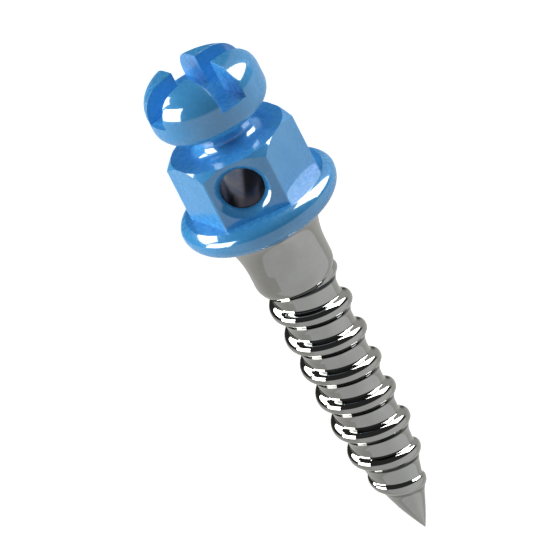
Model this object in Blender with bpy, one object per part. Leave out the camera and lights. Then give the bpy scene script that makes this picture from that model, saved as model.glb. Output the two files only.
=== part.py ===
"""Orthodontic mini screw: a one-piece titanium screw that lies as it comes to rest.

The screw is built standing on its point, with its axis on +Z, and is laid down at the end.
Turned forms come from one profile, the thread from a swept section, and the head's hex,
wire slots and ligature hole from a prism and three cutters.
"""

import math

import bmesh
import bpy
from mathutils import Matrix, Vector

MM = 0.001

# Threaded shank, from the point up
point_length = 2.35 * MM
point_fullness = 1.95  # 1 is a plain cone, 2 a blunt bullet
core_diameter_at_point = 1.2 * MM
core_diameter_at_neck = 1.29 * MM
shank_length = 5.92 * MM

# Thread
thread_pitch = 0.714 * MM
thread_height = 0.155 * MM
thread_root_width = 0.41 * MM
thread_crest_width = 0.24 * MM
thread_crest_bevel = 0.045 * MM
thread_start_angle = 400.0  # degrees of helix above the reference crest
thread_crest_level = 5.46 * MM  # height of the crest that faces the marked side
thread_end_level = 0.22 * MM
thread_fade_length = 2.4 * MM
thread_tip_share = 0.3  # height that is left at the tip, as a share of the full height
thread_lead_in = 70.0  # degrees over which the thread rises out of the shank
thread_sink = 0.06 * MM

# Smooth neck and the flare under the collar
shoulder_height = 0.43 * MM
neck_diameter = 1.65 * MM
neck_length = 0.2 * MM
flare_height = 1.05 * MM
flare_width = 0.46 * MM

# Collar with its rounded rim and the bowl round the hex
collar_diameter = 3.274 * MM
collar_rim_radius = 0.37 * MM
collar_height = 0.583 * MM
lip_width = 0.11 * MM
lip_round = 0.035 * MM
bowl_depth = 0.19 * MM

# Hex with a chamfered top
hex_across_flats = 2.343 * MM
hex_height = 1.291 * MM
hex_chamfer_diameter = 2.376 * MM
hex_edge_break = 0.05 * MM
hex_turn = 21.3  # degrees from the marked side to a corner

# Hole for a ligature wire, across one pair of flats
hole_diameter = 0.84 * MM
hole_mouth_round = 0.12 * MM
hole_below_hex_top = 0.67 * MM

# Waist between the hex and the head
waist_diameter = 1.45 * MM
waist_height = 0.48 * MM
waist_fillet = 0.13 * MM

# Head with crossed slots for an arch wire of 0.022 inch
head_diameter = 2.408 * MM
head_height = 1.322 * MM
head_crown_radius = 2.94 * MM
head_crown_edge = 0.55 * MM
head_lower_edge = 0.385 * MM
slot_width = 0.59 * MM
slot_depth = 0.745 * MM

turned_segments = 44
thread_segments = 28

# Levels that follow from the sizes above
neck_foot = shank_length + shoulder_height
collar_underside = neck_foot + neck_length + flare_height
rim_center = collar_underside + collar_rim_radius
lip_top = collar_underside + collar_height
hex_top = lip_top + hex_height
head_underside = hex_top + waist_height
head_top = head_underside + head_height
core_taper = (core_diameter_at_neck - core_diameter_at_point) / (shank_length - point_length)


def clear_scene():
    for obj in list(bpy.data.objects):
        bpy.data.objects.remove(obj, do_unlink=True)


def make_material(name, color, metallic, roughness):
    material = bpy.data.materials.new(name)
    material.use_nodes = True
    shader = material.node_tree.nodes["Principled BSDF"]
    shader.inputs["Base Color"].default_value = (*color, 1.0)
    shader.inputs["Metallic"].default_value = metallic
    shader.inputs["Roughness"].default_value = roughness
    return material


def arc(center_r, center_z, radius, start, end, steps):
    """Points along an arc of a profile, with its angles in degrees from +r towards +z."""
    points = []
    for step in range(steps + 1):
        angle = math.radians(start + (end - start) * step / steps)
        points.append((center_r + radius * math.cos(angle), center_z + radius * math.sin(angle)))
    return points


def quarter_ellipse(center_r, center_z, width, height, start, end, steps):
    points = []
    for step in range(steps + 1):
        angle = math.radians(start + (end - start) * step / steps)
        points.append((center_r + width * math.cos(angle), center_z + height * math.sin(angle)))
    return points


def core_radius(z):
    """Radius of the threaded core at a height above the tip."""
    if z >= point_length:
        return (core_diameter_at_point + core_taper * (z - point_length)) / 2
    return core_diameter_at_point / 2 * (1 - (1 - z / point_length) ** point_fullness)


def shank_profile():
    steps = 8
    point = [(core_radius(point_length * i / steps), point_length * i / steps) for i in range(steps + 1)]
    point[0] = (0.0, 0.0)
    return point + [(core_diameter_at_neck / 2, shank_length)]


def neck_profile():
    """The rounded shoulder, the straight neck and the flare up to the collar."""
    neck = neck_diameter / 2
    ledge = neck - core_diameter_at_neck / 2
    shoulder = quarter_ellipse(core_diameter_at_neck / 2, neck_foot, ledge, shoulder_height, -80, 0, 5)
    flare_foot = neck_foot + neck_length
    flare = quarter_ellipse(neck + flare_width, flare_foot, flare_width, flare_height, 180, 92, 6)
    return shoulder + flare


def collar_profile():
    """The rounded rim, the lip on top of it and the bowl down to the hex."""
    rim = collar_rim_radius
    center = collar_diameter / 2 - rim
    lip_angle = math.degrees(math.asin(min(0.95, (lip_top - lip_round - rim_center) / rim)))
    inward = min(1.0, max(0.0, (neck_diameter / 2 + flare_width - center) / rim))
    outside = arc(center, rim_center, rim, -math.degrees(math.acos(inward)), lip_angle, 9)
    lip_outer = outside[-1][0]
    lip_inner = lip_outer - lip_width
    lip = [(lip_outer - lip_round, lip_top), (lip_inner + lip_round, lip_top), (lip_inner, lip_top - lip_round)]
    bowl_foot = hex_across_flats / 2
    bowl_width = lip_inner - bowl_foot
    bowl_drop = bowl_depth - lip_round
    bowl = quarter_ellipse(bowl_foot, lip_top - lip_round, bowl_width, bowl_drop, 0, -90, 4)
    return outside + lip + bowl[1:]


def waist_profile():
    """From the core of the hex up the waist, with a fillet at each end."""
    waist = waist_diameter / 2
    inner = hex_across_flats / 2 - hex_edge_break
    below = lip_top - bowl_depth
    hidden = [(inner, below), (inner, (below + hex_top) / 2), (waist, (below + hex_top) / 2)]
    lower = arc(waist + waist_fillet, hex_top + waist_fillet, waist_fillet, -115, -180, 5)
    upper = arc(waist + waist_fillet, head_underside - waist_fillet, waist_fillet, 180, 110, 4)
    return hidden + lower + upper


def head_profile():
    """The button head: rounded lower edge, side, rounded shoulder and crown."""
    radius = head_diameter / 2
    lower_center = head_underside + head_lower_edge
    lower = arc(radius - head_lower_edge, lower_center, head_lower_edge, -90, 0, 5)
    reach = radius - head_crown_edge
    crown_center = head_top - head_crown_radius
    to_edge = head_crown_radius - head_crown_edge
    tilt = math.degrees(math.acos(reach / to_edge))
    edge_center = crown_center + to_edge * math.sin(math.radians(tilt))
    edge = arc(reach, edge_center, head_crown_edge, 0, tilt, 6)
    crown = arc(0, crown_center, head_crown_radius, tilt, 90, 4)
    crown[-1] = (0.0, head_top)
    return lower + edge + crown[1:]


def revolve(name, profile, segments, turn=0.0):
    """A closed turned body from a profile that starts and ends on the axis."""
    mesh = bmesh.new()
    rings = []
    for radius, z in profile:
        if radius < 1e-7:
            rings.append([mesh.verts.new((0, 0, z))])
            continue
        ring = []
        for i in range(segments):
            angle = math.radians(turn) + 2 * math.pi * i / segments
            ring.append(mesh.verts.new((radius * math.cos(angle), radius * math.sin(angle), z)))
        rings.append(ring)
    for low, high in zip(rings, rings[1:]):
        for i in range(segments):
            j = (i + 1) % segments
            corners = [low[i % len(low)], low[j % len(low)], high[j % len(high)], high[i % len(high)]]
            mesh.faces.new(list(dict.fromkeys(corners)))
    return finish_mesh(name, mesh)


def finish_mesh(name, mesh):
    bmesh.ops.recalc_face_normals(mesh, faces=mesh.faces)
    data = bpy.data.meshes.new(name)
    mesh.to_mesh(data)
    mesh.free()
    data.shade_smooth()
    data.set_sharp_from_angle(angle=math.radians(32))
    obj = bpy.data.objects.new(name, data)
    bpy.context.scene.collection.objects.link(obj)
    return obj


def thread_section(height_share):
    """Outline of the ridge as (distance out from the core, distance up the axis)."""
    height = thread_height * height_share
    root = thread_root_width / 2 * (0.85 + 0.15 * height_share)
    crest = thread_crest_width / 2 * (0.4 + 0.6 * height_share)
    bevel = thread_crest_bevel * height_share
    return [
        (-thread_sink, -root), (0, -root), (height - bevel, -crest), (height, bevel - crest),
        (height, crest - bevel), (height - bevel, crest), (0, root), (-thread_sink, root),
    ]


def thread_share(z, travelled):
    """How much of its full height the ridge has, near its start and towards the tip."""
    lead_in = min(1.0, travelled / thread_lead_in)
    fade = min(1.0, (z - thread_end_level) / thread_fade_length)
    return max(0.06, lead_in * (thread_tip_share + (1 - thread_tip_share) * fade))


def make_thread():
    """The ridge as a section swept along a left-handed helix."""
    start = thread_crest_level + thread_pitch * thread_start_angle / 360
    total_angle = (start - thread_end_level) / thread_pitch * 360
    steps = math.ceil(total_angle / 360 * thread_segments)
    mesh = bmesh.new()
    rings = []
    for step in range(steps + 1):
        travelled = total_angle * step / steps
        angle = math.radians(travelled - thread_start_angle)
        z = start - thread_pitch * travelled / 360
        ring = []
        for out, up in thread_section(thread_share(z, travelled)):
            reach = max(core_radius(z) + out, core_radius(z) * 0.5)
            ring.append(mesh.verts.new((reach * math.cos(angle), reach * math.sin(angle), z + up)))
        rings.append(ring)
    for near, far in zip(rings, rings[1:]):
        for i in range(len(near)):
            j = (i + 1) % len(near)
            mesh.faces.new([near[i], near[j], far[j], far[i]])
    mesh.faces.new(rings[0])
    mesh.faces.new(rings[-1][::-1])
    return finish_mesh("thread", mesh)


def make_hex():
    """Hexagonal prism with narrow flats along its edges, sunk into the collar."""
    apothem = hex_across_flats / 2
    half_side = apothem * math.tan(math.radians(30)) - hex_edge_break / 2
    outline = []
    for side in range(6):
        facing = math.radians(hex_turn + 30 + 60 * side)
        for along in (-half_side, half_side):
            x = apothem * math.cos(facing) - along * math.sin(facing)
            y = apothem * math.sin(facing) + along * math.cos(facing)
            outline.append((x, y))
    foot = lip_top - bowl_depth - 0.4 * collar_rim_radius
    mesh = bmesh.new()
    base = mesh.faces.new([mesh.verts.new((x, y, foot)) for x, y in outline])
    extruded = bmesh.ops.extrude_face_region(mesh, geom=[base])
    top = [item for item in extruded["geom"] if isinstance(item, bmesh.types.BMVert)]
    bmesh.ops.translate(mesh, verts=top, vec=(0, 0, hex_top - foot))
    return finish_mesh("hex", mesh)


def make_hex_chamfer():
    """A cone over a drum: what it holds of the hex has corners cut at 45 degrees."""
    chamfer = hex_chamfer_diameter / 2
    drum = 1.5 * hex_across_flats / 2
    foot = lip_top - bowl_depth - collar_rim_radius
    profile = [(0, foot), (drum, foot), (drum, hex_top - (drum - chamfer)), (chamfer, hex_top), (0, hex_top)]
    return revolve("hex_chamfer", profile, turned_segments)


def make_hole_cutter():
    """The ligature hole with rounded mouths, longer than the hex is wide."""
    half = hex_across_flats / 2
    bore = hole_diameter / 2
    mouth = bore + hole_mouth_round
    round_start = half - hole_mouth_round
    lower = arc(mouth, -round_start, hole_mouth_round, 270, 180, 5)
    upper = arc(mouth, round_start, hole_mouth_round, 180, 90, 5)
    beyond = half + hole_mouth_round
    profile = [(0, -beyond), (mouth, -beyond)] + lower + upper + [(mouth, beyond), (0, beyond)]
    cutter = revolve("hole_cutter", profile, 32, turn=5.625)
    along_flats = Matrix.Rotation(math.radians(hex_turn - 30), 4, "Z")
    lie_down = Matrix.Rotation(math.radians(90), 4, "Y")
    place = Matrix.Translation((0, 0, hex_top - hole_below_hex_top))
    cutter.data.transform(place @ along_flats @ lie_down)
    return cutter


def make_slot_cutter(name, turn):
    mesh = bmesh.new()
    bmesh.ops.create_cube(mesh, size=1)
    size = (2 * head_diameter, slot_width, 2 * slot_depth)
    bmesh.ops.scale(mesh, verts=mesh.verts, vec=size)
    bmesh.ops.translate(mesh, verts=mesh.verts, vec=(0, 0, head_top))
    bmesh.ops.rotate(mesh, verts=mesh.verts, matrix=Matrix.Rotation(math.radians(turn), 3, "Z"))
    return finish_mesh(name, mesh)


def use_as_tool(target, tool, operation):
    """Adds a Boolean to the target and keeps the tool out of the model."""
    tool.hide_render = True
    tool.hide_viewport = True
    tool.display_type = "WIRE"
    modifier = target.modifiers.new(tool.name, "BOOLEAN")
    modifier.operation = operation
    modifier.object = tool
    modifier.solver = "EXACT"
    modifier.material_mode = "TRANSFER"


def paint_above(obj, level, lower, upper):
    """The anodised head above a level and bare titanium below it."""
    obj.data.materials.append(lower)
    obj.data.materials.append(upper)
    for face in obj.data.polygons:
        face.material_index = int(face.center.z > level)


def evaluated_points(obj):
    graph = bpy.context.evaluated_depsgraph_get()
    graph.update()
    evaluated = obj.evaluated_get(graph)
    points = [vertex.co.copy() for vertex in evaluated.to_mesh().vertices]
    evaluated.to_mesh_clear()
    return points


def rest_tilt(points):
    """Angle of the axis when the collar's rim and the thread touch the ground."""
    rim = min(points, key=lambda point: point.x)
    below = [point for point in points if point.z < rim.z - collar_rim_radius]
    return min(math.atan2(point.x - rim.x, rim.z - point.z) for point in below)


def lay_down(obj, tools):
    """Puts the axis near +X with the marked side up, and the bounding box's foot at the origin."""
    tilt = rest_tilt(evaluated_points(obj))
    axis = Vector((math.cos(tilt), 0, math.sin(tilt)))
    marked = Vector((-math.sin(tilt), 0, math.cos(tilt)))
    turn = Matrix((marked, axis.cross(marked), axis)).transposed().to_4x4()
    corners = [turn @ point for point in evaluated_points(obj)]
    low = Vector([min(corner[i] for corner in corners) for i in range(3)])
    high = Vector([max(corner[i] for corner in corners) for i in range(3)])
    shift = Matrix.Translation((-(low.x + high.x) / 2, -(low.y + high.y) / 2, -low.z))
    for item in [obj, *tools]:
        item.data.transform(shift @ turn)


def build():
    clear_scene()
    titanium = make_material("titanium", (0.42, 0.41, 0.38), 1.0, 0.22)
    anodised = make_material("blue anodised titanium", (0.06, 0.22, 0.52), 1.0, 0.18)
    profile = shank_profile() + neck_profile() + collar_profile() + waist_profile() + head_profile()
    half_facet = 180 / turned_segments
    screw = revolve("mini_screw", profile, turned_segments, turn=half_facet)
    paint_above(screw, collar_underside + 0.2 * collar_rim_radius, titanium, anodised)

    thread = make_thread()
    thread.data.materials.append(titanium)
    hex_block = make_hex()
    hex_block.data.materials.append(anodised)
    chamfer = make_hex_chamfer()
    use_as_tool(hex_block, chamfer, "INTERSECT")
    cutters = [
        make_slot_cutter("slot_cutter_along_corner", hex_turn),
        make_slot_cutter("slot_cutter_across", hex_turn + 90),
        make_hole_cutter(),
    ]
    use_as_tool(screw, thread, "UNION")
    use_as_tool(screw, hex_block, "UNION")
    for cutter in cutters:
        cutter.data.materials.append(anodised)
        use_as_tool(screw, cutter, "DIFFERENCE")
    lay_down(screw, [thread, hex_block, chamfer, *cutters])


build()
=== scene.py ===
import math

import bmesh
import bpy
import numpy as np
from mathutils import Matrix, Vector


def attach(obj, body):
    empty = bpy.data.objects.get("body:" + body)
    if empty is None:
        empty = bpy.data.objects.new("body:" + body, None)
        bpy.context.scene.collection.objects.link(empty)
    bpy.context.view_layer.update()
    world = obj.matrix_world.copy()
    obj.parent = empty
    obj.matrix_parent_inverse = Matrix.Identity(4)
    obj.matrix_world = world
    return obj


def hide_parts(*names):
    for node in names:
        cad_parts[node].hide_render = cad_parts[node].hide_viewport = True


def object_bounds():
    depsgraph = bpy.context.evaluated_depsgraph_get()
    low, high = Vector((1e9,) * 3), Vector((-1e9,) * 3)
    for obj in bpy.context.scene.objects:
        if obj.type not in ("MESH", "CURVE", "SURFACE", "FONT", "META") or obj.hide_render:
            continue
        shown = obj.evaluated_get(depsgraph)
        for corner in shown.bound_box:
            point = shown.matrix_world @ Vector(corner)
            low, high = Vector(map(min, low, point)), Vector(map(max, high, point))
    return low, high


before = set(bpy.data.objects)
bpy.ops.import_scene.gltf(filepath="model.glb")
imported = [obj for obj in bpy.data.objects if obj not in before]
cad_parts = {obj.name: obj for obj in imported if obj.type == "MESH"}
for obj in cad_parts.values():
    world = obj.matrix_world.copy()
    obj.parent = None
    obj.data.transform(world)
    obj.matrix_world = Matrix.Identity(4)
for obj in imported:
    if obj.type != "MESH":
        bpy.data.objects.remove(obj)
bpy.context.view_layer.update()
print("frame loaded")

mm = 0.001
tiny = 1e-7  # metres; less than this counts as nothing
overlap = 0.1  # millimetres that one piece of the screw runs into the next

# The screw is shaped standing on its point, with its axis on +Z and the side that the
# camera sees on +X. This lays it down on the collar's rim and one turn of the thread.
layDown = {"tilt": 8.7588, "tipX": -5.587 * mm, "tipZ": 0.4044 * mm}

tilt = math.radians(layDown["tilt"])
axisWay = Vector((math.cos(tilt), 0, math.sin(tilt)))
frontWay = Vector((-math.sin(tilt), 0, math.cos(tilt)))
sideWay = axisWay.cross(frontWay)
tipPlace = Vector((layDown["tipX"], 0, layDown["tipZ"]))
standToLie = Matrix.Translation(tipPlace) @ Matrix((frontWay, sideWay, axisWay)).transposed().to_4x4()


# Small helpers for node trees, used by materials, the world and the thread

class Wire:
    # a socket in a tree; arithmetic on it adds Math nodes
    def __init__(self, tree, socket=None):
        self.tree = tree
        self.socket = socket

    def node(self, kind, settings=None, inputs=None, out=0):
        made = self.tree.nodes.new(kind)
        for name, value in (settings or {}).items():
            setattr(made, name, value)
        for key, value in (inputs or {}).items():
            if isinstance(value, Wire):
                value.feed(made, key)
            else:
                made.inputs[key].default_value = value
        return Wire(self.tree, made.outputs[out])

    def feed(self, node, key):
        self.tree.links.new(self.socket, node.inputs[key])

    def also(self, name):
        return Wire(self.tree, self.socket.node.outputs[name])

    def math(self, operation, *others):
        inputs = dict(enumerate((self, *others)))
        return self.node("ShaderNodeMath", {"operation": operation}, inputs)

    def vector(self, operation, *others, out=0):
        inputs = dict(enumerate((self, *others)))
        return self.node("ShaderNodeVectorMath", {"operation": operation}, inputs, out)

    def __add__(self, other):
        return self.math("ADD", other)

    __radd__ = __add__

    def __mul__(self, other):
        return self.math("MULTIPLY", other)

    __rmul__ = __mul__

    def __sub__(self, other):
        return self.math("SUBTRACT", other)

    def __rsub__(self, other):
        return self.node("ShaderNodeMath", {"operation": "SUBTRACT"}, {0: other, 1: self})

    def __truediv__(self, other):
        return self.math("DIVIDE", other)

    def clamped(self, low=0.0, high=1.0):
        return self.node("ShaderNodeClamp", None, {"Value": self, "Min": low, "Max": high})

    def ramped(self, start, end, low=0.0, high=1.0):
        inputs = {"Value": self, "From Min": start, "From Max": end, "To Min": low, "To Max": high}
        return self.node("ShaderNodeMapRange", None, inputs)


def between(ends, share):
    # share 0 gives the first end and 1 the second; each may be a number or a wire
    first, last = ends
    return first + (last - first) * share


def mixColors(amount, first, second):
    inputs = {0: amount, 6: first, 7: second}  # the Mix node's factor and its two colour sockets
    return amount.node("ShaderNodeMix", {"data_type": "RGBA"}, inputs, out=2)


# Turned forms

def scaled(profile):
    return [(radius * mm, z * mm) for radius, z in profile]


def oval(centerR, centerZ, width, height, start, end, steps):
    turn = np.radians(np.linspace(start, end, steps + 1))
    return [(centerR + width * math.cos(a), centerZ + height * math.sin(a)) for a in turn]


def arc(centerR, centerZ, radius, start, end, steps):
    return oval(centerR, centerZ, radius, radius, start, end, steps)


def ringAt(mesh, radius, z, angles):
    # a ring of vertices, or a single one on the axis
    if radius < tiny:
        return [mesh.verts.new((0, 0, z))]
    return [mesh.verts.new((radius * math.cos(a), radius * math.sin(a), z)) for a in angles]


def bridge(mesh, low, high, count):
    # faces between two rings, either of which may be a single vertex
    for i in range(count):
        j = (i + 1) % count
        corners = [low[i % len(low)], low[j % len(low)], high[j % len(high)], high[i % len(high)]]
        mesh.faces.new(list(dict.fromkeys(corners)))


def finishBody(mesh, name, material, sharpAngle=35):
    bmesh.ops.remove_doubles(mesh, verts=mesh.verts, dist=tiny)
    bmesh.ops.recalc_face_normals(mesh, faces=mesh.faces)
    data = bpy.data.meshes.new(name)
    mesh.to_mesh(data)
    mesh.free()
    data.materials.append(material)
    data.shade_smooth()
    data.set_sharp_from_angle(angle=math.radians(sharpAngle))
    body = bpy.data.objects.new(name, data)
    bpy.context.scene.collection.objects.link(body)
    return body


def turnProfile(profile, name, material, segments=192, sharpAngle=35):
    # a closed turned body; the profile starts and ends on the axis
    mesh = bmesh.new()
    angles = [2 * math.pi * i / segments for i in range(segments)]
    rings = [ringAt(mesh, radius, z, angles) for radius, z in scaled(profile)]
    for low, high in zip(rings, rings[1:]):
        bridge(mesh, low, high, segments)
    return finishBody(mesh, name, material, sharpAngle)


def cutWith(body, cutter, operation):
    step = body.modifiers.new(cutter.name, "BOOLEAN")
    step.operation = operation
    step.object = cutter
    step.solver = "EXACT"


def settle(body):
    # applies all modifiers, so that the body is a plain mesh
    graph = bpy.context.evaluated_depsgraph_get()
    graph.update()
    data = bpy.data.meshes.new_from_object(body.evaluated_get(graph))
    body.modifiers.clear()
    body.data = data


def keepFlats(body, area):
    # faces larger than the area, in square millimetres, shade flat up to their edges
    mesh = bmesh.new()
    mesh.from_mesh(body.data)
    for edge in mesh.edges:
        if any(face.calc_area() > area * mm * mm for face in edge.link_faces):
            edge.smooth = False
    mesh.to_mesh(body.data)
    mesh.free()


def layPiece(body):
    body.data.transform(standToLie)
    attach(body, "root")
    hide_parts("mini_screw")


# Materials; a noise is given as its scale per millimetre, its detail and the span that becomes 0 to 1

metalPattern = {
    "cloud": (2.2, 4, 0.35, 0.65), "grain": (24.0, 3, 0.4, 0.7), "streak": (1.6, 5, 0.42, 0.62),
    "streakStretch": (1.2, 1.2, 14.0), "streakShare": 0.15,
}
titaniumLook = {
    "bright": (0.565, 0.57, 0.555, 1), "dull": (0.51, 0.505, 0.485, 1),
    "roughness": (0.012, 0.04),
    "ringWidth": 0.03, "ringDepth": 0.00002,
    # the painted shade line in the hollow under each turn of the thread: its span across the pitch, soft
    # edges, colour, and the levels where it fades in above the point and out below the top
    "paintedShadeBand": (0.185, 0.305), "paintedShadeSoft": (0.015, 0.02), "paintedShadeColor": (0.05, 0.053, 0.055, 1),
    "paintedShadeFoot": (0.6, 1.6), "paintedShadeTop": (6.1, 6.04),
}
boreLook = {
    "bright": (0.34, 0.29, 0.28, 1), "dull": (0.05, 0.14, 0.34, 1),
    "roughness": (0.15, 0.26),
    "ringWidth": 0.06, "ringDepth": 0.002,
}
blueLook = {
    "light": (0.075, 0.395, 0.81, 1), "deep": (0.06, 0.35, 0.75, 1),
    "cloud": (1.5, 3, 0.3, 0.7), "grain": (9.0, 3, 0.35, 0.7), "grainShare": 0.08,
    "roughness": (0.22, 0.34), "specular": 0.3,
    "gloss": (0.86, 0.93, 0.96, 1), "glossShare": (0.115, 0.145), "glossRoughness": (0.015, 0.05),
    "ringWidth": 0.05, "ringDepth": 0.00003,
}
turningRings = {"onFaces": 0.7, "detail": 2.0, "strength": 0.6}


def startMaterial(name):
    material = bpy.data.materials.new(name)
    material.use_nodes = True
    tree = material.node_tree
    return material, Wire(tree), tree.nodes["Principled BSDF"]


def standingPlace(wire):
    # Object coordinates turned back to the standing screw, in millimetres
    back = standToLie.inverted()
    place = back.to_translation() / mm
    turn = back.to_euler()
    coords = wire.node("ShaderNodeTexCoord", out="Object")
    inputs = {"Vector": coords, "Location": place, "Rotation": turn, "Scale": (1 / mm,) * 3}
    return wire.node("ShaderNodeMapping", {"vector_type": "POINT"}, inputs)


def noise(place, scale, detail, low, high):
    inputs = {"Vector": place, "Scale": scale, "Detail": detail, "Roughness": 0.55}
    return place.node("ShaderNodeTexNoise", None, inputs).ramped(low, high)


def turningMarks(place, look):
    # very fine uneven rings round the axis, as a lathe tool leaves them, on flat faces too
    axes = place.node("ShaderNodeSeparateXYZ", None, {0: place})
    radius = (axes * axes + axes.also("Y") * axes.also("Y")).math("SQRT")
    along = (axes.also("Z") + radius * turningRings["onFaces"]) / look["ringWidth"]
    inputs = {"W": along, "Scale": 1.0, "Detail": turningRings["detail"]}
    rings = place.node("ShaderNodeTexNoise", {"noise_dimensions": "1D"}, inputs)
    inputs = {"Strength": turningRings["strength"], "Distance": look["ringDepth"] * mm, "Height": rings}
    return place.node("ShaderNodeBump", None, inputs)


def paintedHollowShade(place, look):
    # 1 in the hollow just below each turn of the ridge, where a darker line of painted shade lies on the
    # metal
    axes = place.node("ShaderNodeSeparateXYZ", None, {0: place})
    level = axes.also("Z")
    turn = axes.also("Y").math("ARCTAN2", axes) / (2 * math.pi)
    below = 1.0 - ((level - shank["Crest Level"]) / shank["Pitch"] + turn).math("FRACT")
    start, end = look["paintedShadeBand"]
    startSoft, endSoft = look["paintedShadeSoft"]
    line = below.ramped(start - startSoft, start + startSoft) * below.ramped(end + endSoft, end - endSoft)
    return line * level.ramped(*look["paintedShadeTop"]) * level.ramped(*look["paintedShadeFoot"])


def makeTitanium(name, look):
    # clouds in the colour, a finer grain in the roughness, and faint streaks round the axis in both
    material, wire, shader = startMaterial(name)
    place = standingPlace(wire)
    cloudy = noise(place, *metalPattern["cloud"])
    fine = noise(place, *metalPattern["grain"])
    stretched = place.vector("MULTIPLY", metalPattern["streakStretch"])
    streaks = noise(stretched, *metalPattern["streak"])
    wear = between((cloudy, streaks), metalPattern["streakShare"])
    color = mixColors(wear, look["dull"], look["bright"])
    # a darker line of painted shade in the hollow under each turn of the thread
    if "paintedShadeBand" in look:
        color = mixColors(paintedHollowShade(place, look), color, look["paintedShadeColor"])
    shader.inputs["Metallic"].default_value = 1.0
    color.feed(shader, "Base Color")
    between(look["roughness"], (fine + streaks) * 0.5).feed(shader, "Roughness")
    turningMarks(place, look).feed(shader, "Normal")
    return material


def makeBlue(name, look):
    # saturated oxide colour with a thin colourless gloss on it
    material, wire, shader = startMaterial(name)
    place = standingPlace(wire)
    cloudy = noise(place, *look["cloud"])
    fine = noise(place, *look["grain"])
    marks = turningMarks(place, look)
    shade = between((cloudy, fine), look["grainShare"])
    shader.inputs["Specular IOR Level"].default_value = look["specular"]
    mixColors(shade, look["deep"], look["light"]).feed(shader, "Base Color")
    between(look["roughness"], fine).feed(shader, "Roughness")
    marks.feed(shader, "Normal")

    gloss = wire.tree.nodes.new("ShaderNodeBsdfPrincipled")
    gloss.inputs["Base Color"].default_value = look["gloss"]
    gloss.inputs["Metallic"].default_value = 1.0
    between(look["glossRoughness"], fine).feed(gloss, "Roughness")
    marks.feed(gloss, "Normal")
    layers = {0: between(look["glossShare"], cloudy)}
    layers[1] = Wire(wire.tree, shader.outputs[0])
    layers[2] = Wire(wire.tree, gloss.outputs[0])
    both = wire.node("ShaderNodeMixShader", None, layers)
    both.feed(wire.tree.nodes["Material Output"], "Surface")
    return material


# Threaded shank: one sheet wound round the axis, a pitch wide, with the ridge in its middle

# in millimetres, turns and degrees; each is an input of the tree
shank = {
    "Pitch": 0.714, "Crest Level": 5.46, "Start Turns": 2.0, "Start Of Ridge": 1.06, "Lead In": 0.194,
    "Turns": 11, "Steps Per Turn": 128, "Steps Across": 60, "Merge Distance": 0.0004,
    "Thread Height": 0.155, "Upper Flank Angle": 62.0, "Lower Flank Angle": 42.0, "Crest Flat": 0.01,
    "Crest Radius": 0.14, "Upper Root Radius": 0.06, "Lower Root Radius": 0.36, "Upper Reach": 0.29,
    "Fade Length": 1.9, "End Level": 0.6, "End Length": 0.3, "Tip Share": 0.3, "Narrowest": 0.7,
    "Point Diameter": 1.2, "Neck Diameter": 1.29, "Point Length": 2.35,
    "Point Fullness": 1.95, "Length": 5.92, "Top Level": 6.2, "Tip Level": 0.012,
}
acrossStops = [0, 0.05, 0.42, 0.5, 0.9, 1]  # shares of the steps for crest, its edge, flank, root, core


def ridgeFade(size, turns, level):
    # 1 on the full ridge, which rises out of the shoulder and fades towards the point
    leadIn = ((turns - size["Start Of Ridge"]) / size["Lead In"]).clamped()
    fade = ((level - size["End Level"]) / size["Fade Length"]).clamped()
    ending = ((level - size["End Level"]) / size["End Length"]).clamped()
    return leadIn * ending * between((size["Tip Share"], 1.0), fade)


def ridgeSection(size, sweep, full):
    # way along the axis from the middle of the crest, and height above the core
    height, crest = size["Thread Height"], size["Crest Radius"]
    below = sweep.math("LESS_THAN", 0.0)
    flank = between((size["Upper Flank Angle"], size["Lower Flank Angle"]), below) * (math.pi / 180)
    root = between((size["Upper Root Radius"], size["Lower Root Radius"]), below)
    reach = between((size["Upper Reach"], size["Pitch"] - size["Upper Reach"]), below)
    sine, cosine = flank.math("SINE"), flank.math("COSINE")
    straight = (height - (crest + root) * (1.0 - cosine)) / sine

    # from the middle of the crest outwards: flat, rounded edge, flank, hollow root and bare core
    share = (sweep * 2.0).math("ABSOLUTE")
    flat, edge, slope, hollow, bare = [share.ramped(*ends) for ends in zip(acrossStops, acrossStops[1:])]
    edgeAngle, rootAngle = flank * edge, flank * (1.0 - hollow)
    offset = size["Crest Flat"] * flat + crest * edgeAngle.math("SINE") + straight * cosine * slope
    offset = offset + root * (sine - rootAngle.math("SINE"))
    drop = crest * (1.0 - edgeAngle.math("COSINE")) + straight * sine * slope
    drop = drop + root * (rootAngle.math("COSINE") - cosine)
    width = size["Crest Flat"] + (crest + root) * sine + straight * cosine
    narrow = between((size["Narrowest"], 1.0), full)
    offset = offset * narrow + (reach - width * narrow) * bare
    return offset * sweep.math("SIGN"), (height - drop).math("MAXIMUM", 0.0) * full


def coreRadius(size, z):
    # tapers slightly from the neck down, and then runs in a full curve to the point
    taper = (size["Neck Diameter"] - size["Point Diameter"]) / (size["Length"] - size["Point Length"])
    even = (size["Point Diameter"] + taper * (z - size["Point Length"]).math("MAXIMUM", 0.0)) * 0.5
    rest = (1.0 - z / size["Point Length"]).math("MAXIMUM", 0.0)
    return even * (1.0 - rest.math("POWER", size["Point Fullness"]))


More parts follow.
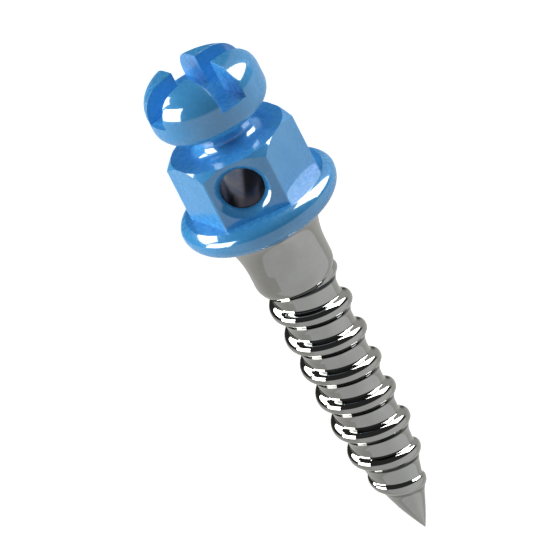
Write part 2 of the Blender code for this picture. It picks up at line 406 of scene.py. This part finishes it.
def makeThreadTree():
    tree = bpy.data.node_groups.new("wound thread", "GeometryNodeTree")
    for name, value in shank.items():
        kind = "NodeSocketInt" if isinstance(value, int) else "NodeSocketFloat"
        tree.interface.new_socket(name, in_out="INPUT", socket_type=kind).default_value = value
    tree.interface.new_socket("Material", in_out="INPUT", socket_type="NodeSocketMaterial")
    tree.interface.new_socket("Geometry", in_out="OUTPUT", socket_type="NodeSocketGeometry")
    source = tree.nodes.new("NodeGroupInput")
    size = {item.name: Wire(tree, item) for item in source.outputs if item.name}
    start = Wire(tree)

    along = size["Turns"] * size["Steps Per Turn"] + 1
    across = size["Steps Across"] + 1
    inputs = {"Size X": 1.0, "Size Y": 1.0, "Vertices X": along, "Vertices Y": across}
    sheet = start.node("GeometryNodeMeshGrid", None, inputs)
    here = start.node("GeometryNodeInputPosition")
    split = here.node("ShaderNodeSeparateXYZ", None, {0: here})
    turns = (split + 0.5) * size["Turns"]
    level = size["Crest Level"] + size["Pitch"] * (size["Start Turns"] - turns)
    offset, ridge = ridgeSection(size, split.also("Y"), ridgeFade(size, turns, level))

    # what lies past either end is drawn onto the axis there, which closes the end
    raw = level + offset
    aboveTip = raw.math("GREATER_THAN", size["Tip Level"])
    inside = raw.math("LESS_THAN", size["Top Level"]) * aboveTip
    z = raw.clamped(0.0, size["Top Level"]) * aboveTip
    radius = (coreRadius(size, z) + ridge) * inside
    angle = (turns - size["Start Turns"]) * (2 * math.pi)
    place = {0: radius * angle.math("COSINE"), 1: radius * angle.math("SINE"), 2: z}
    point = start.node("ShaderNodeCombineXYZ", None, place)
    wound = start.node("GeometryNodeSetPosition", None, {"Geometry": sheet, "Position": point})
    inputs = {"Geometry": wound, "Distance": size["Merge Distance"]}
    joined = start.node("GeometryNodeMergeByDistance", None, inputs)
    smooth = start.node("GeometryNodeSetShadeSmooth", None, {"Geometry": joined})
    real = start.node("GeometryNodeRealizeInstances", None, {"Geometry": smooth})
    inputs = {"Geometry": real, "Material": size["Material"]}
    final = start.node("GeometryNodeSetMaterial", None, inputs)
    final.feed(tree.nodes.new("NodeGroupOutput"), 0)
    return tree


def makeShank():
    body = bpy.data.objects.new("threadedShank", bpy.data.meshes.new("threadedShank"))
    bpy.context.scene.collection.objects.link(body)
    step = body.modifiers.new("thread", "NODES")
    step.node_group = makeThreadTree()
    for item in step.node_group.interface.items_tree:
        if item.in_out == "INPUT":
            step[item.identifier] = titanium if item.name == "Material" else shank[item.name]
    settle(body)
    mesh = bmesh.new()
    mesh.from_mesh(body.data)
    bmesh.ops.recalc_face_normals(mesh, faces=mesh.faces)
    bmesh.ops.scale(mesh, verts=mesh.verts, vec=(mm, mm, mm))
    mesh.to_mesh(body.data)
    mesh.free()
    return body


# Neck: a round shoulder out of the core, a straight length and a flare; a plug reaches into the shank

neck = {
    "foot": shank["Length"], "coreRadius": shank["Neck Diameter"] / 2, "plugShare": 0.75, "plugDepth": 0.3,
    "shoulder": 0.43, "crestRound": 0.28, "rootRound": 0.12, "flank": 55,
    "radius": 0.825, "length": 0.2, "flareHeight": 1.05, "flareWidth": 0.46, "flareEnd": 91,
}
neckTop = neck["foot"] + neck["shoulder"] + neck["length"]
underside = neckTop + neck["flareHeight"]


def shoulderCurve():
    # from the core out to the neck: a hollow arc, a short flank and a round arc
    crest, root = neck["crestRound"], neck["rootRound"]
    sine, cosine = math.sin(math.radians(neck["flank"])), math.cos(math.radians(neck["flank"]))
    straight = (neck["radius"] - neck["coreRadius"] - (crest + root) * (1 - cosine)) / sine
    points = arc(root, 0, root, 180, 180 - neck["flank"], steps=10)
    centerR = points[-1][0] + straight * sine - crest * cosine
    centerZ = points[-1][1] + straight * cosine + crest * sine
    points += arc(centerR, centerZ, crest, -neck["flank"], 0, steps=14)
    stretch = neck["shoulder"] / points[-1][1]
    return [(neck["coreRadius"] + radius, neck["foot"] + z * stretch) for radius, z in points]


def makeNeck():
    plugFoot = neck["foot"] - neck["plugDepth"]
    wide, high = neck["flareWidth"], neck["flareHeight"]
    points = [(0, plugFoot), (neck["coreRadius"] * neck["plugShare"], plugFoot)] + shoulderCurve()
    points += oval(neck["radius"] + wide, neckTop, wide, high, 180, neck["flareEnd"], steps=36)
    points += [(points[-1][0], underside + overlap), (0, underside + overlap)]
    return turnProfile(points, "flaredNeck", titanium, segments=256)


# Collar: a round rim, flatter on top, and a flat land that meets it in a small edge

# the two rings, as shares of the underside's and the hex's radius, keep the flat faces flat
collar = {
    "radius": 1.637, "height": 0.586, "rim": 0.37, "widest": 0.387, "rimTop": (0.5, 0.262),
    "land": 1.468, "landEdge": 0.004, "undersideRing": 0.9, "landRing": 0.98, "bareBelow": 0.345,
}
rimLevel = underside + collar["widest"]
landLevel = underside + collar["height"]


def makeCollar():
    rim, land = collar["rim"], collar["land"]
    wide, high = collar["rimTop"]
    footR, topR = collar["radius"] - rim, collar["radius"] - wide
    last = math.degrees(math.acos((land - topR) / wide))
    points = [(0, underside), (footR * collar["undersideRing"], underside)]
    points += oval(footR, rimLevel, rim, collar["widest"], -90, 0, steps=32)
    points += oval(topR, rimLevel, wide, high, 0, last, steps=24)[1:]
    points += [(land - collar["landEdge"], landLevel)]
    points += [(hexBlock["acrossFlats"] / 2 * collar["landRing"], landLevel), (0, landLevel)]
    body = turnProfile(points, "roundCollar", blue, segments=256, sharpAngle=12)
    # the underside is bare metal, as the neck is
    body.data.materials.append(titanium)
    for face in body.data.polygons:
        if face.center.z < (rimLevel - collar["bareBelow"]) * mm:
            face.material_index = 1
    return body


# Hex with rounded edges, its chamfered top and the ligature hole

hexBlock = {
    "acrossFlats": 2.343, "height": 1.291, "chamfer": 2.376, "edge": 0.075, "turn": 22.0,
    "hole": 0.86, "mouthRound": 0.25, "mouthSweep": 66, "holeDown": 0.65, "holeTurn": -9.8,
}
apothem = hexBlock["acrossFlats"] / 2
hexFoot = landLevel - overlap
hexTop = landLevel + hexBlock["height"]


def makePrism():
    edge = hexBlock["edge"]
    corner = (apothem - edge) / math.cos(math.radians(30))
    mesh = bmesh.new()
    outline = []
    for side in range(6):
        toCorner = math.radians(hexBlock["turn"] + 60 * side)
        for bend in range(-30, 31, 10):
            way = toCorner + math.radians(bend)
            x = corner * math.cos(toCorner) + edge * math.cos(way)
            y = corner * math.sin(toCorner) + edge * math.sin(way)
            outline.append(mesh.verts.new((x * mm, y * mm, hexFoot * mm)))
    grown = bmesh.ops.extrude_face_region(mesh, geom=[mesh.faces.new(outline)])
    top = [item for item in grown["geom"] if isinstance(item, bmesh.types.BMVert)]
    bmesh.ops.translate(mesh, verts=top, vec=(0, 0, (hexTop - hexFoot) * mm))
    return finishBody(mesh, "hexBlock", blue, sharpAngle=20)


def makeChamferCone():
    # a drum with a 45 degree cone on top; what lies inside it stays
    chamfer = hexBlock["chamfer"] / 2
    drum = 1.5 * apothem
    below = hexFoot - overlap
    points = [(0, below), (drum, below), (drum, hexTop - (drum - chamfer)), (chamfer, hexTop), (0, hexTop)]
    return turnProfile(points, "chamferCone", blue)


def makeDrill():
    # widens at both mouths, in a rounding that stops at the flat
    bore, wallSlack = hexBlock["hole"] / 2, 0.01
    fillet, sweep = hexBlock["mouthRound"], hexBlock["mouthSweep"]
    mouth = bore + fillet * (1 - math.cos(math.radians(sweep)))
    inside = apothem - fillet * math.sin(math.radians(sweep))
    beyond = apothem + fillet
    points = [(0, -beyond), (mouth, -beyond)]
    points += arc(bore + fillet, -inside, fillet, 180 + sweep, 180, steps=10)
    points += arc(bore + fillet, inside, fillet, 180, 180 - sweep, steps=10)
    points += [(mouth, beyond), (0, beyond)]
    drill = turnProfile(points, "drill", blue, segments=96)
    # the wall between the mouths is bare
    drill.data.materials.append(boreMetal)
    for face in drill.data.polygons:
        reach = max(math.hypot(*drill.data.vertices[i].co.xy) for i in face.vertices)
        if reach < (bore + wallSlack) * mm:
            face.material_index = 1
    place = Matrix.Translation((0, 0, (hexTop - hexBlock["holeDown"]) * mm))
    across = Matrix.Rotation(math.radians(hexBlock["holeTurn"]), 4, "Z")
    drill.data.transform(place @ across @ Matrix.Rotation(math.radians(90), 4, "Y"))
    return drill


def makeHex():
    block, cone, drill = makePrism(), makeChamferCone(), makeDrill()
    cutWith(block, cone, "INTERSECT")
    cutWith(block, drill, "DIFFERENCE")
    block.modifiers[drill.name].material_mode = "TRANSFER"
    settle(block)
    for tool in (cone, drill):
        bpy.data.objects.remove(tool, do_unlink=True)
    block.data.set_sharp_from_angle(angle=math.radians(24))
    keepFlats(block, area=0.15)
    return block


# Waist and button head: turned up to the slots' floor, with four petals above it

waist = {"radius": 0.585, "height": 0.48, "fillet": 0.215}
head = {
    "radius": 1.204, "height": 1.222, "crown": 8.0, "crownEdge": 0.55, "lowerEdge": 0.385,
    "slotWidth": 0.59, "slotDepth": 0.645, "slotTurn": 21.3, "edge": 0.009,
    "sideSteps": 4, "crownEdgeSteps": 24, "crownSteps": 39,
    "edgeSteps": 5, "petalSteps": 40, "slotSteps": 14,
}
headFoot = hexTop + waist["height"]
headTop = headFoot + head["height"]
slotFloor = headTop - head["slotDepth"]
towardsWalls = (Vector((0, -1, 0)), Vector((-1, 0, 0)))  # out of a petal's two walls


def headSide():
    # profile from the slots' floor up to the axis, each point with its outward direction
    edge, crown = head["crownEdge"], head["crown"]
    reach = head["radius"] - edge
    lean = math.acos(reach / (crown - edge))
    crownCenter = headTop - crown
    edgeCenter = crownCenter + (crown - edge) * math.sin(lean)

    def curve(centerR, centerZ, radius, angles):
        outward = [(math.cos(a), math.sin(a)) for a in angles]
        return [(centerR + radius * outR, centerZ + radius * outZ, outR, outZ) for outR, outZ in outward]

    levels = np.linspace(slotFloor, edgeCenter, head["sideSteps"] + 1)[:-1]
    points = [(head["radius"], z, 1.0, 0.0) for z in levels]
    points += curve(reach, edgeCenter, edge, np.linspace(0, lean, head["crownEdgeSteps"] + 1))
    points += curve(0, crownCenter, crown, np.linspace(lean, math.pi / 2, head["crownSteps"] + 1)[1:])
    return points


def petalRows():
    # the side's points outside the slots, each with its distance from the slots' middle planes;
    # the last is the petal's inner corner
    edge = head["edge"]
    rows = []
    for side in headSide():
        radius, z, outR, outZ = side
        wall = (head["slotWidth"] / 2 + edge) / (1 + edge * outR / radius)
        spare = radius - wall * math.sqrt(2)
        if spare <= 0:
            share = before / (before - spare)
            corner = [between(ends, share) for ends in zip(rows[-1], side)]
            rows.append((*corner, corner[0] / math.sqrt(2)))
            break
        rows.append((*side, wall))
        before = spare
    return rows


def petalVert(mesh, point, quarter):
    # a vertex of one of the four petals, from its place on the first
    turn = math.radians(head["slotTurn"] + 90 * quarter)
    c, s = math.cos(turn), math.sin(turn)
    x, y, z = point
    return mesh.verts.new(((x * c - y * s) * mm, (x * s + y * c) * mm, z * mm))


def acrossPetal(radius, z, outR, outZ, wall):
    # one row of points: a rounded edge, the skin, and the other rounded edge
    edge, bends = head["edge"], head["edgeSteps"]
    start = math.asin(min(1.0, wall / radius))
    angles = np.linspace(start, math.pi / 2 - start, head["petalSteps"] + 1)
    skin = [Vector((radius * math.cos(a), radius * math.sin(a), z)) for a in angles]
    ways = [Vector((outR * math.cos(a), outR * math.sin(a), outZ)).normalized() for a in angles]

    def rounded(end, share):
        way = ways[end].slerp(towardsWalls[end], share)
        return skin[end] - ways[end] * edge + way * edge

    row = [rounded(0, k / bends) for k in range(bends, 0, -1)]
    return row + skin + [rounded(-1, k / bends) for k in range(1, bends + 1)]


def makePetal(mesh, rows, quarter):
    # gives the petal's lowest row, and the foot of its inner edge on the slots' floor
    edge, bends = head["edge"], head["edgeSteps"]
    verts = [[petalVert(mesh, point, quarter) for point in acrossPetal(*row)] for row in rows[:-1]]

    # the innermost row is a rounded corner
    radius, z, outR, outZ, wall = rows[-1]
    corner = Vector((wall, wall, z))
    up = Vector((outR * math.sqrt(0.5), outR * math.sqrt(0.5), outZ)).normalized()
    center = corner - up * edge
    ways = [towardsWalls[0].slerp(towardsWalls[1], i / bends) for i in range(bends + 1)]
    fan = [[petalVert(mesh, center + up.slerp(way, k / bends) * edge, quarter) for way in ways]
           for k in range(1, bends + 1)]
    tip = petalVert(mesh, corner, quarter)
    middle = [tip] * (head["petalSteps"] + 1)
    verts.append([level[0] for level in reversed(fan)] + middle + [level[-1] for level in fan])

    for low, high in zip(verts, verts[1:]):
        for i in range(len(low) - 1):
            corners = list(dict.fromkeys([low[i], low[i + 1], high[i + 1], high[i]]))
            if len(corners) > 2:
                mesh.faces.new(corners)
    for i in range(bends):
        mesh.faces.new([tip, fan[0][i], fan[0][i + 1]])
        for low, high in zip(fan, fan[1:]):
            mesh.faces.new([low[i], high[i], high[i + 1], low[i + 1]])

    # the rounded inner edge goes down to the floor, between the two flat walls
    places = [(center.x + way.x * edge, center.y + way.y * edge, slotFloor) for way in ways]
    post = [petalVert(mesh, place, quarter) for place in places]
    for i in range(bends):
        mesh.faces.new([fan[-1][i], post[i], post[i + 1], fan[-1][i + 1]])
    mesh.faces.new([row[0] for row in verts] + [post[0]])
    mesh.faces.new([row[-1] for row in reversed(verts)] + [post[-1]])
    return verts[0], post


def layFloor(mesh, petals, start):
    # the cross-shaped floor of the slots; gives the ring round the head at its level
    bends, radius = head["edgeSteps"], head["radius"]
    gap = np.linspace(-start, start, head["slotSteps"] + 1)[1:-1]
    places = [(radius * math.cos(a), radius * math.sin(a), slotFloor) for a in gap]
    ring, outline = [], []
    for quarter, (bottom, post) in enumerate(petals):
        mouth = [petalVert(mesh, place, quarter) for place in places]
        skinEnd = len(bottom) - bends
        ring += mouth + bottom[bends:skinEnd]
        outline += mouth + bottom[:bends + 1][::-1] + post + bottom[skinEnd - 1:][::-1]
    mesh.faces.new(outline)
    return ring


def turnWaist(mesh, ring):
    # the head's lower edge, the hollow waist, and its foot inside the hex
    lowerEdge, fillet = head["lowerEdge"], waist["fillet"]
    hollow = waist["radius"] + fillet
    points = arc(head["radius"] - lowerEdge, headFoot + lowerEdge, lowerEdge, 0, -90, steps=20)
    points += arc(hollow, headFoot - fillet, fillet, 90, 180, steps=12)
    points += arc(hollow, hexTop + fillet, fillet, 180, 270, steps=12)
    points += [(hollow, hexTop - overlap), (0, hexTop - overlap)]
    angles = [math.atan2(vert.co.y, vert.co.x) for vert in ring]
    for radius, z in scaled(points):
        below = ringAt(mesh, radius, z, angles)
        bridge(mesh, ring, below, len(angles))
        ring = below


def makeHead():
    mesh = bmesh.new()
    rows = petalRows()
    petals = [makePetal(mesh, rows, quarter) for quarter in range(4)]
    radius, wall = rows[0][0], rows[0][-1]
    ring = layFloor(mesh, petals, math.asin(wall / radius))
    turnWaist(mesh, ring)
    body = finishBody(mesh, "buttonHead", blue, sharpAngle=30)
    keepFlats(body, area=0.15)
    return body


# Camera, floor and light

# degrees from the screw's axis to the camera and from the image's upright to the axis, metres to
# the camera, pixels per millimetre, and the pixel where the point lies
photo = {
    "fromAxis": 64.3, "lean": 27.1, "lens": 1200, "distance": 0.36601,
    "scale": 51.0, "tipPixel": (425.5, 527.0), "size": 560,
}
# levels and tints by direction: azimuth from the front and height above the collar's plane, in degrees
stage = {
    "floorColor": 0.5, "floorGlow": 0.86, "floorRoughness": 0.9,
    "beside": (90, 150, 0.40, 0.53), "besideTint": (1.0, 0.995, 0.96, 1),
    "ahead": (0, 60, 0.52, 0.62), "aheadTint": (0.985, 1.0, 1.0, 1),
    "panelLeft": (-81, -77), "panelRight": (112, 108), "panelStep": (-32, -30, 0, 20),
    "horizon": -8.0, "horizonSoft": 2.5, "headSide": 0.033,
    "rightBack": 0.42, "rightBackStart": (112, 124), "rightBackEnd": (168, 158),
    "window": 10.0, "windowSoft": 0.006,
}
# corners of the soft boxes
windows = {
    "left": [(-101, -3.5), (-62, -6), (-58, 38.5), (-101, 31)],
    "far left": [(-150, 33), (-107, 23), (-105.5, 46.5), (-142, 50.5)],
    "right": [(77.5, 17), (121, 15), (139, 62), (85, 70)],
}
lamps = {
    "left lamp": {"from": (-100, 15), "level": 1.05, "spread": 50},
    "right lamp": {"from": (105, 12), "level": 0.46, "spread": 50},
    "top lamp": {"from": (60, 60), "level": 0.32, "spread": 60},
}


def makeCamera():
    fromAxis, lean = math.radians(photo["fromAxis"]), math.radians(photo["lean"])
    toCamera = math.cos(fromAxis) * axisWay + math.sin(fromAxis) * frontWay
    upAxis = math.sin(fromAxis) * axisWay - math.cos(fromAxis) * frontWay
    right = math.cos(lean) * sideWay - math.sin(lean) * upAxis
    up = math.sin(lean) * sideWay + math.cos(lean) * upAxis
    half = photo["size"] / 2
    aim = tipPlace - right * ((photo["tipPixel"][0] - half) / photo["scale"] * mm)
    aim += up * ((photo["tipPixel"][1] - half) / photo["scale"] * mm)
    data = bpy.data.cameras.new("camera")
    data.lens = photo["lens"]
    data.clip_start = 0.001
    data.clip_end = 2.0
    camera = bpy.data.objects.new("camera", data)
    bpy.context.scene.collection.objects.link(camera)
    turn = Matrix((right, up, toCamera)).transposed().to_4x4()
    camera.matrix_world = Matrix.Translation(aim + toCamera * photo["distance"]) @ turn
    bpy.context.scene.camera = camera


def wayTo(azimuth, height):
    # direction round the lying screw's axis
    turn, lift = math.radians(azimuth), math.radians(height)
    flat = math.cos(turn) * frontWay + math.sin(turn) * sideWay
    return math.cos(lift) * flat + math.sin(lift) * axisWay


def makeFloor():
    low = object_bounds()[0].z
    mesh = bmesh.new()
    bmesh.ops.create_grid(mesh, x_segments=1, y_segments=1, size=1)
    bmesh.ops.translate(mesh, verts=mesh.verts, vec=(0, 0, low))
    material, _, shader = startMaterial("white floor")
    shader.inputs["Base Color"].default_value = (stage["floorColor"],) * 3 + (1,)
    shader.inputs["Roughness"].default_value = stage["floorRoughness"]
    shader.inputs["Specular IOR Level"].default_value = 0.0
    shader.inputs["Emission Color"].default_value = (1, 1, 1, 1)
    shader.inputs["Emission Strength"].default_value = stage["floorGlow"]
    floor = finishBody(mesh, "floor", material)
    floor.visible_glossy = floor.visible_diffuse = floor.visible_shadow = False


def makeLamps():
    for name, facts in lamps.items():
        data = bpy.data.lights.new(name, "SUN")
        data.energy = facts["level"] * math.pi
        data.angle = math.radians(facts["spread"])
        lamp = bpy.data.objects.new(name, data)
        lamp.visible_glossy = False
        lamp.rotation_mode = "QUATERNION"
        lamp.rotation_quaternion = wayTo(*facts["from"]).to_track_quat("Z", "Y")
        bpy.context.scene.collection.objects.link(lamp)


def surroundings(azimuth, height):
    # light side towards the point, with a slightly cooler panel in front; dark side towards the head
    stepIn = height.ramped(*stage["panelStep"])
    panel = (azimuth - stepIn).ramped(*stage["panelLeft"]) * azimuth.ramped(*stage["panelRight"])
    beside = azimuth.math("ABSOLUTE").ramped(*stage["beside"])
    ahead = azimuth.ramped(*stage["ahead"])
    tint = mixColors(panel, stage["besideTint"], stage["aheadTint"])
    light = height.ramped(stage["horizon"] + stage["horizonSoft"], stage["horizon"] - stage["horizonSoft"])
    rightBack = azimuth.ramped(*stage["rightBackStart"]) * azimuth.ramped(*stage["rightBackEnd"])
    headSide = between((stage["headSide"], stage["rightBack"]), rightBack)
    return between((headSide, between((beside, ahead), panel)), light), tint


def softBoxes(way):
    # 1 inside a box; each of its edges is a plane through the middle of the world
    soft = stage["windowSoft"]
    boxes = 0.0
    for corners in windows.values():
        points = [wayTo(*corner) for corner in corners]
        inside = 1.0
        for first, last in zip(points, points[1:] + points[:1]):
            edge = first.cross(last).normalized()
            if edge.dot(sum(points, Vector())) < 0:
                edge = -edge
            inside = way.vector("DOT_PRODUCT", tuple(edge), out=1).ramped(-soft, soft) * inside
        boxes = inside + boxes
    return boxes


def makeWorld():
    world = bpy.data.worlds.new("studio")
    bpy.context.scene.world = world
    world.use_nodes = True
    world.cycles.sampling_method = "NONE"
    wire = Wire(world.node_tree)
    way = wire.node("ShaderNodeTexCoord", out="Generated")
    axes = (frontWay, sideWay, axisWay)
    front, side, along = [way.vector("DOT_PRODUCT", tuple(axis), out=1) for axis in axes]
    azimuth = side.math("ARCTAN2", front) * (180 / math.pi)
    height = along.math("ARCSINE") * (180 / math.pi)
    base, tint = surroundings(azimuth, height)

    # only mirror rays see the soft boxes, as lamps give their light; the camera sees plain white
    rays = wire.node("ShaderNodeLightPath")
    seen = rays.also("Is Camera Ray")
    strength = base + softBoxes(way) * rays.also("Is Glossy Ray") * stage["window"]
    background = wire.tree.nodes["Background"]
    mixColors(seen, tint, (1, 1, 1, 1)).feed(background, "Color")
    between((strength, 1.0), seen).feed(background, "Strength")


# Everything is made here

titanium = makeTitanium("polished titanium", titaniumLook)
boreMetal = makeTitanium("drilled titanium", boreLook)
blue = makeBlue("blue anodised titanium", blueLook)
print("materials made")

layPiece(makeShank())
print("shank wound")
layPiece(makeNeck())
layPiece(makeCollar())
print("neck and collar turned")
layPiece(makeHex())
print("hex chamfered and drilled")
layPiece(makeHead())
print("head made")

makeCamera()
makeFloor()
makeLamps()
makeWorld()
scene = bpy.context.scene
scene.view_settings.view_transform = "Standard"
print("stage set")
